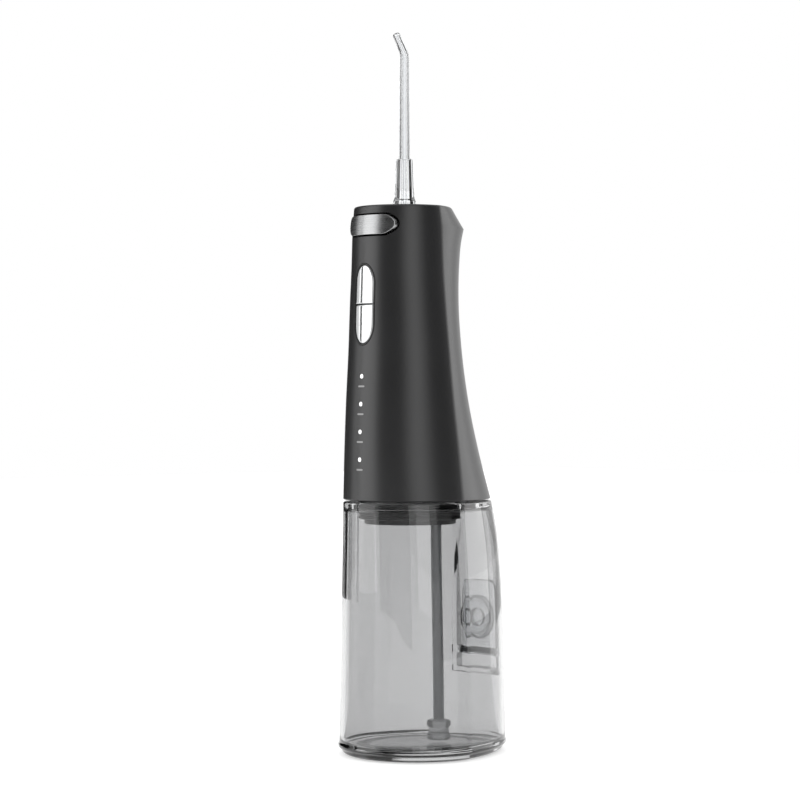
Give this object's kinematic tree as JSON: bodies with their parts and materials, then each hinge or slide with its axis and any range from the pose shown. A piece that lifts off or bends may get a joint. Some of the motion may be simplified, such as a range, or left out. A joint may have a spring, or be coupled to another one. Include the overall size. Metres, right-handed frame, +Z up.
{
  "type": "water flosser",
  "caption": "Cordless oral irrigator: a dark handle with chrome buttons, pump and battery, on a clear smoked water tank with a filler flap, and a clear turning jet nozzle on top.",
  "frame": {"origin": "centre of the footprint's bounding box, at the foot of the tank", "axes": "+Z up along the body to the nozzle, -Y the front with the buttons, +X the object's left seen from behind, which is the right hand side seen from the front"},
  "size_m": [0.063, 0.0746, 0.2896],
  "materials": {
    "smoked_clear": "smoked clear plastic tank, glossy",
    "clear_tip": "clear glossy plastic",
    "dark_satin": "dark grey satin plastic",
    "black_plastic": "black plastic",
    "chrome": "polished chrome plating",
    "steel": "plain steel",
    "brass": "machined brass",
    "white_acetal": "white acetal",
    "black_rubber": "soft black rubber",
    "clear_rubber": "translucent grey silicone",
    "grey_silicone": "grey silicone",
    "board": "green solder mask",
    "battery_wrap": "shrink-wrapped cell",
    "light_white": "white light guide"
  },
  "bodies": {
    "tank": {"water_tank": "smoked_clear", "flap_hinge_pin": "steel"},
    "flap": {"filler_flap": "clear_tip", "filler_seal": "clear_rubber"},
    "handle": {"handle_shell": "dark_satin", "handle_base": "black_plastic", "neck_seal": "black_rubber", "button_bezel": "black_plastic", "button_pad": "grey_silicone", "power_switch": "steel", "mode_switch": "steel", "circuit_board": "board", "chassis": "black_plastic", "battery_cell": "battery_wrap", "motor_can": "steel", "gearbox_plate": "white_acetal", "gear_axle": "steel", "gearbox_screw_1": "steel", "gearbox_screw_2": "steel", "gearbox_screw_3": "steel", "gearbox_screw_4": "steel", "pump_cylinder": "white_acetal", "pump_head": "white_acetal", "inlet_valve": "grey_silicone", "outlet_valve": "grey_silicone", "inlet_tube": "clear_rubber", "outlet_tube": "clear_rubber", "nozzle_seat": "white_acetal", "nozzle_seal": "black_rubber", "release_spring": "steel", "charge_socket": "steel", "status_light_1": "light_white", "status_light_2": "light_white", "status_light_3": "light_white", "status_light_4": "light_white"},
    "pickup": {"suction_hose": "clear_rubber", "pickup_weight": "clear_rubber"},
    "power": {"power_button": "chrome"},
    "mode": {"mode_button": "chrome"},
    "release": {"release_button": "chrome", "nozzle_latch": "steel"},
    "dial": {"nozzle_dial": "black_plastic"},
    "jet": {"nozzle": "clear_tip"},
    "rotor": {"motor_shaft": "steel", "motor_pinion": "brass"},
    "crank": {"drive_gear": "white_acetal"},
    "piston": {"pump_piston": "white_acetal", "piston_seal": "black_rubber"},
    "cover": {"charge_cover": "grey_silicone"}
  },
  "joints": [
    {"name": "handle_lift", "type": "slide", "parent": "tank", "child": "handle", "axis": [0, 0, 1], "range_m": [0, 0.115]},
    {"name": "flap_hinge", "type": "hinge", "parent": "tank", "child": "flap", "pos_m": [0, 0.031, 0.0388], "axis": [-1, 0, 0], "range_deg": [0, 105]},
    {"name": "hose_swing", "type": "hinge", "parent": "handle", "child": "pickup", "pos_m": [0, 0.00545, 0.092], "axis": [1, 0, 0], "range_deg": [-8, 8]},
    {"name": "power_press", "type": "slide", "parent": "handle", "child": "power", "axis": [0, 1, 0], "range_m": [0, 0.0004], "stiffness_N_per_m": 1500},
    {"name": "mode_press", "type": "slide", "parent": "handle", "child": "mode", "axis": [0, 1, 0], "range_m": [0, 0.0004], "stiffness_N_per_m": 1500},
    {"name": "release_press", "type": "slide", "parent": "handle", "child": "release", "axis": [0, 1, 0], "range_m": [0, 0.0012], "stiffness_N_per_m": 900, "deforming": ["release_spring"]},
    {"name": "dial_turn", "type": "hinge", "parent": "handle", "child": "dial", "pos_m": [0, -0.0119, 0.2194], "axis": [0, 0, 1], "continuous": true},
    {"name": "nozzle_pull", "type": "slide", "parent": "dial", "child": "jet", "axis": [0, 0, 1], "range_m": [0, 0.03]},
    {"name": "gear_turn", "type": "hinge", "parent": "handle", "child": "crank", "pos_m": [0, -0.0189, 0.1163], "axis": [0, 0, 1], "continuous": true},
    {"name": "motor_turn", "type": "hinge", "parent": "handle", "child": "rotor", "pos_m": [0, -0.002, 0.1163], "axis": [0, 0, 1], "continuous": true},
    {"name": "piston_stroke", "type": "slide", "parent": "handle", "child": "piston", "axis": [0, 1, 0], "range_m": [-0.006, 0]},
    {"name": "cover_hinge", "type": "hinge", "parent": "handle", "child": "cover", "pos_m": [0, 0.0206, 0.1233], "axis": [-1, 0, 0], "range_deg": [0, 110]}
  ],
  "couplings": [
    {"joint": "motor_turn", "follows": "gear_turn", "ratio": -3.2}
  ]
}
